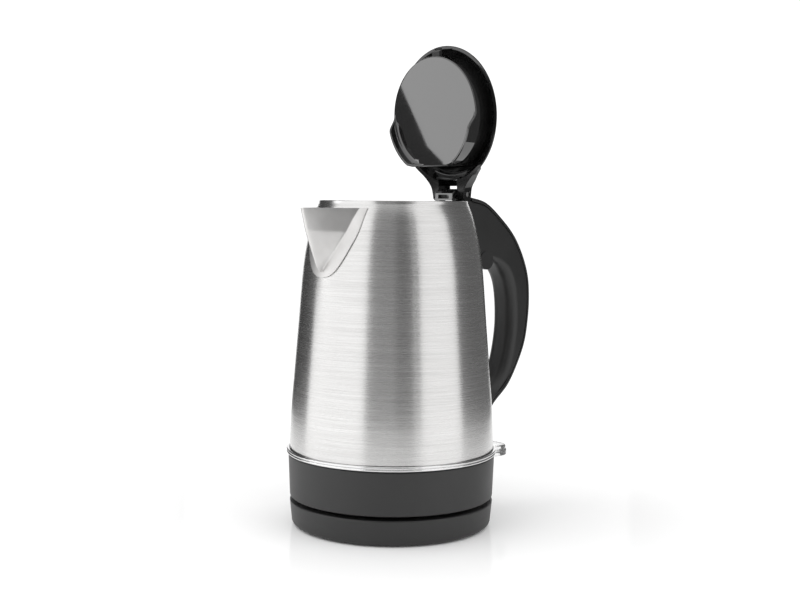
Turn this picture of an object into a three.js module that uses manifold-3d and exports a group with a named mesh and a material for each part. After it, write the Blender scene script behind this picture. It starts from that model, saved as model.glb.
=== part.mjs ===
// Cordless electric kettle: a tapered steel jug on a round 360 degree power base.
// Millimetres, +Z up. The origin is on the power base's axis, on the table; the spout points to -X
// and the handle to +X. The lid is modelled standing open.
import * as THREE from 'three';
import { mergeVertices } from 'three/addons/utils/BufferGeometryUtils.js';
import { ConvexGeometry } from 'three/addons/geometries/ConvexGeometry.js';
import Module from 'manifold-3d';

const wasm = await Module();
wasm.setup();

// ---- driving dimensions ----
const gap = 0.3; // clearance between touching pieces
const turnSides = 40; // facets round the large turned pieces
const smallSides = 12;
const innerSides = 20; // facets round the hidden turned pieces

const feetHeight = 1.0; // underside of the power base above the table
const baseTopZ = 19.1;
const baseTopR = 76.2;
const baseLowR = 74.7;
const baseEdgeR = 3.2; // rounding of the power base's lower edge
const baseWall = 2.2;
const footR = 4.0;
const footCircleR = 70.0;
const footAngles = [60, 180, 300];

const towerR = 16.6;
const towerTopZ = 33.0;
const grooveInnerR = 8.2;
const grooveOuterR = 10.8;

const housingLowZ = 21.8;
const housingTopZ = 53.2;
const housingLowR = 76.2;
const housingTopR = 77.6;
const housingWall = 2.2;

const ringLowZ = 53.7;
const beadR = 0.95;
const ringR = 79.0;

const jugWall = 1.0;
const jugLowZ = 53.7;
const rimZ = 242.5;
const rimR = 55.4;
const jugOutline = [
  [76.7, 53.7], [75.8, 85], [73.6, 115], [70.9, 150], [67.1, 197], [61.2, 227], [55.7, 242],
]; // radius, height

const plateZ = 59; // underside of the steel plate at the bottom of the jug
const elementR = 50;
const elementSweep = 310; // degrees round the plate

const spoutWall = 1.0;
const noseLine = [[-88.3, 237], [-84.0, 221], [-79.2, 208], [-74.0, 195], [-70.0, 189.5]];
const spoutSides = [[-50, 23.5, 237], [-56, 18.0, 220], [-60, 11.0, 207], [-64, 1.0, 190.5]];
const flangeOutline = [[29, 237], [27, 220], [22, 206.5], [15.5, 195], [8.5, 188.6], [0, 186.4]];

const hingeX = 62.5;
const hingeZ = 248;
const lidLean = THREE.MathUtils.degToRad(3.2); // the open lid leans past upright, towards the spout
const lidCentre = 62; // from the hinge axis to the middle of the lid
const lidR = 54.5;
const lidRimX = -5; // rim plane, measured from the hinge axis in the lid's own frame
const lidTopX = 7.5;
const domeOutline = [[54.5, -5], [54.5, -4], [49.7, 0], [44.5, 3], [36.5, 5.8], [26.5, 7.2]];
const recessOutline = [[51.4, -4.4], [47.2, -0.6], [42.5, 1.2], [35.5, 3.6], [26, 5.1]];
const plugR = 46;
const plugChord = 39.5; // from the plug's middle to its flat hinge side
const plugFaceX = -18;
const plugTopX = -0.5; // open edge of the plug, just under the cover's dome
const lipHeight = 7;
const pinR = 2.0;
const earInnerY = 10.2;
const bracketHalfY = 9.8;
const bracketTopZ = 252;

const handleHalfY = 12;
const stripDepth = 3.0;
const handleOuter = [
  [74, 245.5], [90.9, 241.4], [108.5, 229.1], [123.3, 215.3], [134.1, 198.6], [140.7, 181], [142.3, 163],
  [141.0, 145.6], [137.0, 126.9], [128.2, 109], [116.8, 93.0], [101.0, 80], [94.8, 70.5], [93.6, 60],
];
const handleInner = [
  [79, 87], [94, 91], [107, 101.5], [114.8, 117], [119.6, 145], [116.9, 173], [106, 188], [90, 195],
];
const handleScrews = [{ which: 'upper', wallX: 64, z: 222 }, { which: 'lower', wallX: 78, z: 70 }];
const handleFoot = [[93.4, 56.5], [96, 53.4], [98.4, 51.2], [99, 47.5], [80.2, 47.5], [80.2, 59]];

const leverTipX = 116;
const leverHalfY = 13;
const leverThick = 5;
const leverZ = 40; // middle of the lever's thickness
const leverPivotX = 68;
const pivotPinR = 1.5;

// ---- materials ----
function finish(color, roughness, metalness) {
  return new THREE.MeshStandardMaterial({ color, roughness, metalness });
}
const brushedSteel = finish(0xbfbdb8, 0.32, 1.0);
const polishedSteel = finish(0xd8d8d6, 0.12, 1.0);
const darkPlastic = finish(0x3c3d3f, 0.55, 0.0);
const glossBlack = finish(0x0c0c0d, 0.12, 0.0);
const satinBlack = finish(0x222324, 0.45, 0.0);
const clearPlastic = finish(0xdedede, 0.1, 0.0);
const innerPlastic = finish(0x8c8a84, 0.6, 0.0);
const brassMetal = finish(0xc79a4b, 0.3, 1.0);
const aluminiumMetal = finish(0xb4b5b7, 0.45, 1.0);
const zincSteel = finish(0xa5a7aa, 0.4, 1.0);
const greyRubber = finish(0x2b2b2b, 0.85, 0.0);
const lampGlass = finish(0xf2d7b0, 0.1, 0.0);

// ---- solids ----
function toSolid(geometry) {
  const bare = geometry.index ? geometry.toNonIndexed() : geometry.clone();
  bare.deleteAttribute('normal');
  bare.deleteAttribute('uv');
  const merged = mergeVertices(bare, 1e-4);
  const solid = new wasm.Manifold(new wasm.Mesh({
    numProp: 3,
    vertProperties: new Float32Array(merged.attributes.position.array),
    triVerts: new Uint32Array(merged.index.array),
  }));
  return solid;
}

function toGeometry(solid) {
  const mesh = solid.getMesh();
  const geometry = new THREE.BufferGeometry();
  geometry.setAttribute('position', new THREE.BufferAttribute(new Float32Array(mesh.vertProperties), 3));
  geometry.setIndex(new THREE.BufferAttribute(new Uint32Array(mesh.triVerts), 1));
  geometry.computeVertexNormals();
  return geometry;
}

const kettle = new THREE.Group();

function add(name, shape, material, parent = kettle) {
  const geometry = shape.isBufferGeometry ? shape : toGeometry(shape);
  const mesh = new THREE.Mesh(geometry, material);
  mesh.name = name;
  parent.add(mesh);
  return mesh;
}

const vectors = (pairs) => pairs.map(([a, b]) => new THREE.Vector2(a, b));

// Turns a closed [radius, height] outline, listed anticlockwise, about the Z axis.
function turned(outline, sides = turnSides) {
  const points = vectors([...outline, outline[0]]);
  return new THREE.LatheGeometry(points, sides).rotateX(Math.PI / 2);
}

// Turns an outline that starts and ends on the axis.
function turnedFull(outline, sides = turnSides) {
  return new THREE.LatheGeometry(vectors(outline), sides).rotateX(Math.PI / 2);
}

function box(x0, x1, y0, y1, z0, z1) {
  const geometry = new THREE.BoxGeometry(x1 - x0, y1 - y0, z1 - z0);
  return geometry.translate((x0 + x1) / 2, (y0 + y1) / 2, (z0 + z1) / 2);
}

function rod(radius, z0, z1, x = 0, y = 0, sides = smallSides) {
  const geometry = new THREE.CylinderGeometry(radius, radius, z1 - z0, sides).rotateX(Math.PI / 2);
  return geometry.translate(x, y, (z0 + z1) / 2);
}

// A rod along Y, centred on Y = 0.
function crossRod(radius, length, x, z, sides = smallSides) {
  return new THREE.CylinderGeometry(radius, radius, length, sides).translate(x, 0, z);
}

// A rod along X, at Y = 0.
function lyingRod(radius, x0, x1, z, sides = smallSides) {
  const geometry = new THREE.CylinderGeometry(radius, radius, x1 - x0, sides).rotateZ(Math.PI / 2);
  return toSolid(geometry.translate((x0 + x1) / 2, 0, z));
}

// Extrudes an outline drawn in the XZ plane to both sides of Y = 0.
function slab(shape, halfY, bevel = 0) {
  const settings = {
    depth: 2 * (halfY - bevel),
    bevelEnabled: bevel > 0,
    bevelSize: bevel,
    bevelThickness: bevel,
    bevelOffset: -bevel,
    bevelSegments: 2,
    curveSegments: 8,
  };
  return new THREE.ExtrudeGeometry(shape, settings).rotateX(Math.PI / 2).translate(0, halfY - bevel, 0);
}

// Stands a shape drawn flat on XY up on its edge, so that its Z axis lies along X.
const uprightAxes = new THREE.Matrix4().makeBasis(
  new THREE.Vector3(0, 1, 0),
  new THREE.Vector3(0, 0, 1),
  new THREE.Vector3(1, 0, 0),
);

// Extrudes an outline drawn in the YZ plane along X.
function wall(shape, x0, x1, curveSegments = 24) {
  const geometry = new THREE.ExtrudeGeometry(shape, { depth: x1 - x0, bevelEnabled: false, curveSegments });
  return geometry.applyMatrix4(uprightAxes).translate(x0, 0, 0);
}

function hull(points) {
  return toSolid(new ConvexGeometry(points.map(([x, y, z]) => new THREE.Vector3(x, y, z))));
}

const smooth = (pairs, steps) => new THREE.SplineCurve(vectors(pairs)).getPoints(steps);
const mirrored = (pairs) => pairs.map(([a, b]) => [-a, b]).reverse();
const polar = (radius, degrees) => {
  const turn = THREE.MathUtils.degToRad(degrees);
  return [radius * Math.cos(turn), radius * Math.sin(turn)];
};

// Moves each point of an open curve sideways, to the left of its direction of travel.
function offset(points, distance) {
  return points.map((point, i) => {
    const before = points[Math.max(i - 1, 0)];
    const after = points[Math.min(i + 1, points.length - 1)];
    const along = after.clone().sub(before).normalize();
    return new THREE.Vector2(point.x - along.y * distance, point.y + along.x * distance);
  });
}

// ---- round sections swept along a path ----
function circleShape(radius, sides) {
  const shape = new THREE.Shape();
  for (let side = 0; side < sides; side += 1) {
    const turn = (side / sides) * 2 * Math.PI;
    const place = [radius * Math.cos(turn), radius * Math.sin(turn)];
    if (side === 0) shape.moveTo(...place);
    else shape.lineTo(...place);
  }
  shape.closePath();
  return shape;
}

// Part of a level circle, used as the element's path.
class ElementPath extends THREE.Curve {
  constructor(radius, degrees) {
    super();
    this.radius = radius;
    this.sweep = THREE.MathUtils.degToRad(degrees);
  }

  getPoint(t) {
    const turn = t * this.sweep;
    return new THREE.Vector3(this.radius * Math.cos(turn), this.radius * Math.sin(turn), 0);
  }
}

// A coil about the Z axis.
class CoilPath extends THREE.Curve {
  constructor(radius, turns, length) {
    super();
    Object.assign(this, { radius, turns, length });
  }

  getPoint(t) {
    const turn = t * this.turns * 2 * Math.PI;
    return new THREE.Vector3(this.radius * Math.cos(turn), this.radius * Math.sin(turn), t * this.length);
  }
}

function coilSpring(radius, wireR, turns, length) {
  const extrudePath = new CoilPath(radius, turns, length);
  const settings = { steps: turns * 9, bevelEnabled: false, extrudePath };
  return new THREE.ExtrudeGeometry(circleShape(wireR, 5), settings);
}

// ---- jug surface ----
const jugCurve = smooth(jugOutline, 9);

function jugShellOutline(outerOffset, innerOffset) {
  const outer = jugCurve.map((p) => [p.x + outerOffset, p.y]);
  const inner = jugCurve.map((p) => [p.x + innerOffset, p.y]).reverse();
  return [...outer, ...inner];
}

function jugSolid(extra) {
  const side = jugCurve.map((p) => [p.x + extra, p.y]);
  return toSolid(turnedFull([[0, jugLowZ], ...side, [0, jugCurve.at(-1).y]]));
}

function vPrism(halfWidth, topZ, tipZ, x0, x1) {
  return toSolid(wall(new THREE.Shape(vectors([[-halfWidth, topZ], [0, tipZ], [halfWidth, topZ]])), x0, x1));
}

// ---- power base ----
function screw(name, x, y, headLowZ, material = zincSteel) {
  const headR = 3.0;
  const shankR = 1.4;
  const head = toSolid(rod(headR, headLowZ, headLowZ + 1.6, x, y, 10));
  const shank = toSolid(rod(shankR, headLowZ + 1.0, headLowZ + 8, x, y, 8));
  const slot = toSolid(box(x - 2.2, x + 2.2, y - 0.4, y + 0.4, headLowZ - 1, headLowZ + 0.6));
  add(name, head.add(shank).subtract(slot), material);
}

const baseScrewPlaces = [0, 120, 240].map((angle) => polar(42, angle));

function powerBase() {
  const edge = [];
  for (let step = 0; step <= 3; step += 1) {
    const turn = (-Math.PI / 2) + (step / 3) * (Math.PI / 2);
    const radius = baseLowR - baseEdgeR + baseEdgeR * Math.cos(turn);
    edge.push([radius, feetHeight + baseEdgeR * (1 + Math.sin(turn))]);
  }
  const innerR = baseTopR - baseWall;
  const ceilingZ = baseTopZ - baseWall;
  const outline = [
    ...edge, [baseTopR, baseTopZ - 1.2], [baseTopR - 1.2, baseTopZ], [towerR + gap, baseTopZ],
    [towerR + gap, ceilingZ], [innerR, ceilingZ], [baseLowR - baseEdgeR, feetHeight + baseEdgeR],
  ];
  let top = toSolid(turned(outline));
  baseScrewPlaces.forEach(([x, y]) => {
    const boss = toSolid(rod(4, feetHeight + 3.4, ceilingZ + 0.5, x, y, 10));
    const hole = toSolid(rod(1.8, feetHeight, ceilingZ - 2, x, y, 8));
    top = top.add(boss).subtract(hole);
  });
  const inletCut = toSolid(box(-7.3, 7.3, 60, 90, 4.7, 14.3));
  add('power_base_top', top.subtract(inletCut), darkPlastic);

  const plateR = baseLowR - baseEdgeR - gap;
  const plateTopZ = feetHeight + 2.0;
  let plate = toSolid(rod(plateR, feetHeight, plateTopZ, 0, 0, turnSides));
  baseScrewPlaces.forEach(([x, y]) => {
    const sink = toSolid(rod(3.4, feetHeight - 1, feetHeight + 1.4, x, y, 10));
    const hole = toSolid(rod(1.8, feetHeight, plateTopZ + 1, x, y, 8));
    plate = plate.subtract(sink).subtract(hole);
  });
  footAngles.forEach((angle, i) => {
    const [x, y] = polar(footCircleR - footR, angle);
    plate = plate.subtract(toSolid(rod(footR + gap, feetHeight - 1, feetHeight + 1.0, x, y)));
    add(`foot_${i + 1}`, rod(footR, 0, feetHeight + 0.7, x, y), greyRubber);
  });
  add('power_base_plate', plate, darkPlastic);
  baseScrewPlaces.forEach(([x, y], i) => screw(`base_screw_${i + 1}`, x, y, feetHeight - 0.2));
}

function connectorTower() {
  const lowZ = feetHeight + 2.3;
  const bore = 2.8;
  const flangeR = 26;
  const outline = [
    [bore, lowZ], [flangeR, lowZ], [flangeR, lowZ + 3], [towerR, lowZ + 3], [towerR, towerTopZ - 1],
    [towerR - 1, towerTopZ], [grooveOuterR, towerTopZ], [grooveOuterR, 14], [grooveInnerR, 14],
    [grooveInnerR, towerTopZ], [bore, towerTopZ],
  ];
  add('base_connector', turned(outline, innerSides), satinBlack);
  const contact = [[8.5, 14.3], [10.5, 14.3], [10.5, 17.5], [8.5, 17.5]];
  add('base_ring_contact', turned(contact, innerSides), brassMetal);
  add('base_pin_contact', rod(bore - gap, lowZ, 17.5), brassMetal);
}

function cordGland() {
  const block = toSolid(box(-7, 7, 69, 81, 5, 14));
  const bore = toSolid(new THREE.CylinderGeometry(3.5, 3.5, 30, 16).translate(0, 78, 9.5));
  add('cord_gland', block.subtract(bore), satinBlack);
}

// ---- connector under the kettle ----
function kettleConnector() {
  const innerR = towerR + 0.6;
  const outerR = innerR + 1.8;
  const roofZ = towerTopZ + 0.8;
  const socket = [
    [innerR, housingLowZ + 0.2], [outerR, housingLowZ + 0.2], [outerR, roofZ - 3], [outerR + 3, roofZ - 3],
    [outerR + 3, roofZ + 1.6], [10.7, roofZ + 1.6], [10.7, roofZ], [innerR, roofZ],
  ];
  add('connector_socket', turned(socket, innerSides), innerPlastic);
  const ring = [[8.7, 18], [10.3, 18], [10.3, roofZ + 1.6], [8.7, roofZ + 1.6]];
  add('connector_ring', turned(ring, innerSides), brassMetal);
  add('connector_pin', rod(2.1, 18, roofZ + 1.6), brassMetal);
}

// ---- base of the kettle ----
const housingScrewPlaces = [60, 180, 300].map((angle) => polar(66, angle));

function baseHousing() {
  const innerTopR = housingTopR - housingWall;
  const innerLowR = housingLowR - housingWall;
  const outline = [
    [innerLowR, housingLowZ], [housingLowR - 0.8, housingLowZ], [housingLowR, housingLowZ + 1.2],
    [housingTopR, housingTopZ - 2], [housingTopR - 0.6, housingTopZ], [71, housingTopZ],
    [71, housingTopZ - 2], [innerTopR, housingTopZ - 3.4],
  ];
  let body = toSolid(turned(outline));
  const slot = toSolid(box(70, 90, -leverHalfY - 0.8, leverHalfY + 0.8, leverZ - 5.2, leverZ + 3.2));
  housingScrewPlaces.forEach(([x, y]) => {
    const outward = Math.atan2(y, x);
    const web = box(0, 9.5, -1, 1, housingLowZ + 3.2, 34).rotateZ(outward).translate(x, y, 0);
    const boss = toSolid(rod(4, housingLowZ + 3.2, 34, x, y, 10)).add(toSolid(web));
    body = body.add(boss).subtract(toSolid(rod(1.8, housingLowZ, 32, x, y, 8)));
  });
  add('base_housing', body.subtract(slot), darkPlastic);

  const openingR = towerR + 3.0;
  const plateR = innerLowR - gap;
  let plate = toSolid(turned([
    [openingR, housingLowZ + 0.3], [plateR, housingLowZ + 0.3], [plateR, housingLowZ + 2.6],
    [openingR, housingLowZ + 2.6],
  ]));
  housingScrewPlaces.forEach(([x, y], i) => {
    const sink = toSolid(rod(3.4, housingLowZ - 1, housingLowZ + 1.9, x, y, 10));
    const hole = toSolid(rod(1.8, housingLowZ, housingLowZ + 5, x, y, 8));
    plate = plate.subtract(sink).subtract(hole);
    screw(`housing_screw_${i + 1}`, x, y, housingLowZ);
  });
  add('housing_plate', plate, satinBlack);
}

function trimRing() {
  const innerR = ringR - 2 * beadR;
  const lowC = ringLowZ + beadR;
  const highC = lowC + 2 * beadR - 0.1;
  const outline = [];
  [lowC, highC].forEach((centreZ) => {
    for (let step = 0; step <= 3; step += 1) {
      const turn = (-Math.PI / 2) + 0.25 + (step / 3) * (Math.PI - 0.5);
      outline.push([ringR - beadR + beadR * Math.cos(turn), centreZ + beadR * Math.sin(turn)]);
    }
  });
  outline.push([innerR, highC + beadR * 0.9]);
  outline.push([innerR, ringLowZ + 0.1]);
  add('trim_ring', turned(outline), polishedSteel);
}

function heating() {
  const plate = [
    [0, plateZ], [73, plateZ], [74.6, plateZ + 1.6], [74.6, plateZ + 5],
    [73.8, plateZ + 5], [73.8, plateZ + 2], [72.6, plateZ + 1], [0, plateZ + 1],
  ];
  add('heating_plate', turnedFull(plate), brushedSteel);
  add('heat_spreader', rod(61, plateZ - 2.8, plateZ - 0.3, 0, 0, innerSides), aluminiumMetal);
  const ends = [0, elementSweep].map((angle) => polar(elementR, angle));
  let coil = toSolid(new THREE.ExtrudeGeometry(circleShape(3.2, 8), {
    steps: 28,
    bevelEnabled: false,
    extrudePath: new ElementPath(elementR, elementSweep),
  }));
  ends.forEach(([x, y]) => {
    coil = coil.add(toSolid(rod(2.4, -14, 0, x, y, 10)));
  });
  const placed = toGeometry(coil).rotateZ(THREE.MathUtils.degToRad(205)).translate(0, 0, plateZ - 6.4);
  add('heating_element', placed, zincSteel);
}

function controls() {
  const lowZ = 36;
  const topZ = 47;
  const round = toSolid(rod(25, lowZ, topZ, 0, 0, innerSides));
  const trimmed = round.intersect(toSolid(box(-40, 40, -20, 20, 0, 80)));
  add('control_unit', trimmed, innerPlastic);
  const disc = [[0, topZ + 0.4], [9, topZ + 1.4], [9, topZ + 2.0], [0, topZ + 1.0]];
  add('bimetal_disc', turnedFull(disc, innerSides), brassMetal);
  add('steam_switch', box(40, 58, -11, 11, 27, 45), innerPlastic);
  const tube = [[3.0, 60.5], [4.0, 60.5], [4.0, 204], [3.0, 204]];
  add('steam_tube', turned(tube, smallSides).translate(58, 0, 0), brushedSteel);
  add('indicator_lamp', crossRod(1.6, 9, 60.5, leverZ, 12), lampGlass);
}

function switchLever() {
  const tip = new THREE.Shape();
  const cornerR = 9;
  tip.moveTo(leverPivotX - 5, -leverHalfY);
  tip.lineTo(leverTipX - cornerR, -leverHalfY);
  tip.absarc(leverTipX - cornerR, -leverHalfY + cornerR, cornerR, -Math.PI / 2, 0, false);
  tip.absarc(leverTipX - cornerR, leverHalfY - cornerR, cornerR, 0, Math.PI / 2, false);
  tip.lineTo(leverPivotX - 5, leverHalfY);
  tip.closePath();
  const paddle = new THREE.ExtrudeGeometry(tip, { depth: leverThick, bevelEnabled: false, curveSegments: 6 });
  const body = toSolid(paddle.translate(0, 0, leverZ - leverThick / 2));
  const bore = toSolid(crossRod(pivotPinR + gap, 60, leverPivotX, leverZ, 16));
  add('switch_lever', body.subtract(bore), clearPlastic);
  add('lever_pin', crossRod(pivotPinR, 2 * leverHalfY + 6, leverPivotX, leverZ, 16), zincSteel);
}

// ---- jug, spout and strainer ----
function jug() {
  const outline = jugShellOutline(0, -jugWall);
  const rim = [[rimR - 0.2, rimZ], [rimR - 0.9, rimZ]];
  outline.splice(jugCurve.length, 0, ...rim);
  const opening = vPrism(19, 232, 198, -95, -30);
  add('jug_body', toSolid(turned(outline)).subtract(opening), brushedSteel);
}

function spout() {
  const nose = noseLine.flatMap(([x, z]) => [[x, 0, z], [x + 0.9, 2.2, z], [x + 0.9, -2.2, z]]);
  const sides = spoutSides.flatMap(([x, y, z]) => [[x, y, z], [x, -y, z]]);
  const outer = hull([...nose, ...sides]);
  const lift = 4; // the inside runs out above the top edge
  const noseSlope = 0.27;
  const innerNose = noseLine.flatMap(([x, z], i) => {
    const raised = i === 0 ? lift : 0;
    const inX = x + spoutWall - raised * noseSlope;
    const high = z + raised + (i === noseLine.length - 1 ? 3 : 0);
    return [[inX, 0, high], [inX + 0.9, 1.6, high], [inX + 0.9, -1.6, high]];
  });
  const innerSides = spoutSides.flatMap(([x, y, z], i) => {
    const raised = (i === 0 ? lift : 0) + (i === spoutSides.length - 1 ? 3 : 0);
    const half = Math.max(y - spoutWall * 1.1, 0.4);
    return [[x + 8, half, z + raised], [x + 8, -half, z + raised]];
  });
  const inner = hull([...innerNose, ...innerSides]);
  const half = smooth(flangeOutline, 12).map((p) => [p.x, p.y]);
  const flangeShape = new THREE.Shape(vectors([...half, ...mirrored(half.slice(0, -1))].reverse()));
  const skin = toSolid(turned(jugShellOutline(1.2, gap)));
  const flange = skin.intersect(toSolid(wall(flangeShape, -95, -30)));
  add('spout', outer.add(flange).subtract(inner).subtract(jugSolid(gap)), brushedSteel);
}

function strainer() {
  const skin = toSolid(turned(jugShellOutline(-jugWall - gap, -jugWall - gap - 0.8)));
  let plate = skin.intersect(vPrism(24, 237, 192, -95, -30));
  for (let row = 0; row < 4; row += 1) {
    for (let column = -row; column <= row; column += 1) {
      const hole = new THREE.CylinderGeometry(1.3, 1.3, 60, 6).rotateZ(Math.PI / 2);
      plate = plate.subtract(toSolid(hole.translate(-60, column * 4.2, 206 + row * 6.4)));
    }
  }
  add('spout_strainer', plate, brushedSteel);
}

// ---- handle ----
function handle() {
  const outer = smooth(handleOuter, 18);
  const seam = offset(outer, -stripDepth);
  const core = offset(outer, -stripDepth - gap);
  const wallBetween = (low, high) => jugCurve
    .filter((p) => p.y > low && p.y < high)
    .map((p) => new THREE.Vector2(p.x + 0.5, p.y));
  const upperWall = wallBetween(198, 240);
  const lowerWall = wallBetween(60, 84);
  const fingers = smooth(handleInner, 12);
  const outline = [...core, ...vectors(handleFoot), ...lowerWall, ...fingers, ...upperWall];
  outline.push(...vectors([[59, 242.7], [71, 242.7]]));
  let shell = toSolid(slab(new THREE.Shape(outline), handleHalfY, 1.2));
  const seatX = 86; // the screw heads rest here, under the outer strip
  handleScrews.forEach(({ which, wallX, z }) => {
    shell = shell.subtract(lyingRod(2.0, 30, 90, z)).subtract(lyingRod(4.2, seatX, seatX + 60, z, 16));
    const shank = lyingRod(1.6, wallX, seatX + 1, z);
    const head = lyingRod(3.6, seatX + gap, seatX + gap + 2.4, z, 16);
    add(`handle_screw_${which}`, shank.add(head), zincSteel);
  });
  add('handle_shell', shell, satinBlack);
  const strip = [...outer, ...seam.reverse()];
  add('handle_back', slab(new THREE.Shape(strip), handleHalfY - 0.4, 1.0), satinBlack);
}

// ---- hinge ----
function hinge() {
  const profile = new THREE.Shape();
  profile.moveTo(52.5, 243);
  profile.lineTo(67, 243);
  profile.lineTo(hingeX + 3.9, hingeZ);
  profile.absarc(hingeX, hingeZ, 3.9, 0, Math.PI / 2, false);
  profile.lineTo(57, bracketTopZ);
  profile.lineTo(53, bracketTopZ - 3.4);
  profile.closePath();
  const block = toSolid(slab(profile, bracketHalfY));
  const window = toSolid(box(50, 54.6, -6, 6, 244.4, 247.6));
  const bore = toSolid(crossRod(pinR + gap, 60, hingeX, hingeZ, 16));
  const springRoom = toSolid(box(57.4, 80, -4.2, 4.2, 243.8, 260));
  add('hinge_bracket', block.subtract(window).subtract(bore).subtract(springRoom), satinBlack);
  add('hinge_pin', crossRod(pinR, 33, hingeX, hingeZ, 16), polishedSteel);
  const spring = coilSpring(2.9, 0.4, 4, 7).rotateX(Math.PI / 2).translate(hingeX, 3.5, hingeZ);
  add('lid_spring', spring, polishedSteel);
}

// ---- lid, drawn upright in its own frame: Z runs from the hinge to the tip, +X is the top side ----
function discOutline(radius, chord) {
  const half = Math.sqrt(radius ** 2 - chord ** 2);
  const start = Math.atan2(-chord, half);
  const shape = new THREE.Shape();
  shape.moveTo(-half, lidCentre - chord);
  shape.lineTo(half, lidCentre - chord);
  shape.absarc(0, lidCentre, radius, start, Math.PI - start, false);
  shape.closePath();
  return shape;
}

function lidOutline(radius) {
  const neck = [[17, -5.5], [17.5, 0], [19.5, 6.5], [26, 13.5], [34.5, 20]];
  const joinAngle = Math.atan2(20 - lidCentre, 34.5);
  const neckCurve = smooth(neck, 10);
  const shape = new THREE.Shape(neckCurve);
  shape.absarc(0, lidCentre, radius, joinAngle, Math.PI - joinAngle, false);
  neckCurve.slice().reverse().forEach((p) => shape.lineTo(-p.x, p.y));
  shape.closePath();
  return shape;
}

function lid() {
  const frame = new THREE.Group();
  frame.position.set(hingeX, 0, hingeZ);
  frame.rotation.y = -lidLean;
  kettle.add(frame);

  const lying = (outline) => {
    const upright = turnedFull(outline).applyMatrix4(uprightAxes);
    return toSolid(upright.translate(0, 0, lidCentre));
  };
  const dome = lying([[0, lidRimX], ...domeOutline, [0, lidTopX]]);
  const flat = toSolid(wall(lidOutline(lidR + 1), lidRimX, 20, 22));

  // The neck is thicker than the dome's edge and slopes down into it.
  const neckTopX = 5.2;
  const bevel = 3;
  const settings = {
    depth: 20,
    bevelSize: bevel,
    bevelThickness: bevel,
    bevelOffset: -bevel,
    bevelSegments: 2,
    curveSegments: 22,
  };
  const pillow = new THREE.ExtrudeGeometry(lidOutline(lidR), settings).applyMatrix4(uprightAxes);
  const neckSides = [-40, 40].flatMap((y) => [
    [lidRimX, y, -10], [neckTopX, y, -10], [neckTopX, y, 7], [-2, y, 20], [lidRimX, y, 22],
  ]);
  const neck = toSolid(pillow.translate(neckTopX - bevel - 20, 0, 0)).intersect(hull(neckSides));

  const knuckle = toSolid(crossRod(5.2, 80, 0, 0));
  const below = toSolid(box(-30, 30, -40, 40, -30, 0)).subtract(knuckle);
  const hingeRoom = [[-20, -20], [4.4, -20], [4.4, 6.6], [1.4, 10.4], [-1, 11.6], [-20, 11.6]];
  const recessR = recessOutline[0][0];
  const pocket = lying([[0, -20], [recessR, -20], [recessR, -0.6], [0, -0.6]])
    .intersect(toSolid(box(-30, 30, -18, 18, 0, 22)));
  const rib = lying([[50, -4.4], [50.8, -4.4], [50.8, 0], [50, 0], [50, -4.4]])
    .intersect(toSolid(box(-30, 30, -13, 13, 0, 30)));
  let shell = dome.intersect(flat).add(neck);
  shell = shell.subtract(lying([[0, -20], [recessR, -20], ...recessOutline, [0, 5.2]]));
  shell = shell.subtract(below).subtract(pocket);
  shell = shell.subtract(toSolid(slab(new THREE.Shape(vectors(hingeRoom)), earInnerY)));
  shell = shell.add(rib);
  shell = shell.subtract(toSolid(box(-20, 20, -7.5, 7.5, 3.9, 6.2)));
  shell = shell.subtract(toSolid(crossRod(pinR + gap, 60, 0, 0, 16)));
  const buttonPlace = 96;
  const buttonR = 7;
  const buttonHole = rod(buttonR + 0.4, 0, 30).applyMatrix4(uprightAxes).translate(0, 0, buttonPlace);
  add('lid_shell', shell.subtract(toSolid(buttonHole)), glossBlack, frame);

  lidPlug(frame);
  latch(frame, buttonPlace, buttonR);
}

function lidPlug(frame) {
  const plugWall = 2;
  const cup = toSolid(wall(discOutline(plugR, plugChord), plugFaceX, plugTopX, 20));
  const inside = discOutline(plugR - plugWall, plugChord - plugWall);
  const hollow = toSolid(wall(inside, plugFaceX + plugWall, 20, 20));
  const ringOut = toSolid(wall(discOutline(plugR, plugChord), plugFaceX - lipHeight, plugFaceX + 1, 20));
  const ringIn = toSolid(wall(inside, -60, 20, 20));
  const ramp = new THREE.Shape(vectors([
    [plugFaceX + 0.5, lidCentre + 2], [plugFaceX, lidCentre], [plugFaceX - lipHeight, lidCentre - 12],
    [plugFaceX - lipHeight, 0], [plugFaceX + 0.5, 0],
  ]));
  const lipZone = toSolid(slab(ramp, 70)).subtract(toSolid(box(-60, 20, -19, 19, -10, 60)));
  const lip = ringOut.subtract(ringIn).intersect(lipZone);
  const springSeat = toSolid(box(plugFaceX + 1, -9.4, -4, 4, 74.4, 76.8));
  const boltSlot = toSolid(box(-13.9, -10.1, -4.4, 4.4, 90, 130));
  const plug = cup.subtract(hollow).add(lip).add(springSeat).subtract(boltSlot);
  add('lid_plug', plug, glossBlack, frame);
}

function latch(frame, buttonPlace, buttonR) {
  const bolt = toSolid(box(-13.5, -10.5, -4, 4, 90, 114.5));
  const slope = toSolid(box(-3, 3, -10, 10, -4, 4).rotateY(-Math.PI / 5).translate(-15.4, 0, 115.4));
  add('latch_bolt', bolt.subtract(slope), satinBlack, frame);
  add('latch_spring', coilSpring(1.8, 0.3, 4, 9.2).translate(-12, 0, 80.0), polishedSteel, frame);
  const cap = rod(buttonR, lidTopX - 4.5, lidTopX + 1.5).applyMatrix4(uprightAxes);
  const stem = toSolid(box(-7, lidTopX - 4, -3, 3, buttonPlace - 3, buttonPlace + 3));
  add('release_button', toSolid(cap.translate(0, 0, buttonPlace)).add(stem), satinBlack, frame);
}

powerBase();
connectorTower();
cordGland();
kettleConnector();
baseHousing();
trimRing();
heating();
controls();
switchLever();
jug();
spout();
strainer();
handle();
hinge();
lid();

export default kettle;
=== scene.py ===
import math

import bmesh
import bpy
from mathutils import Matrix, Vector


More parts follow.
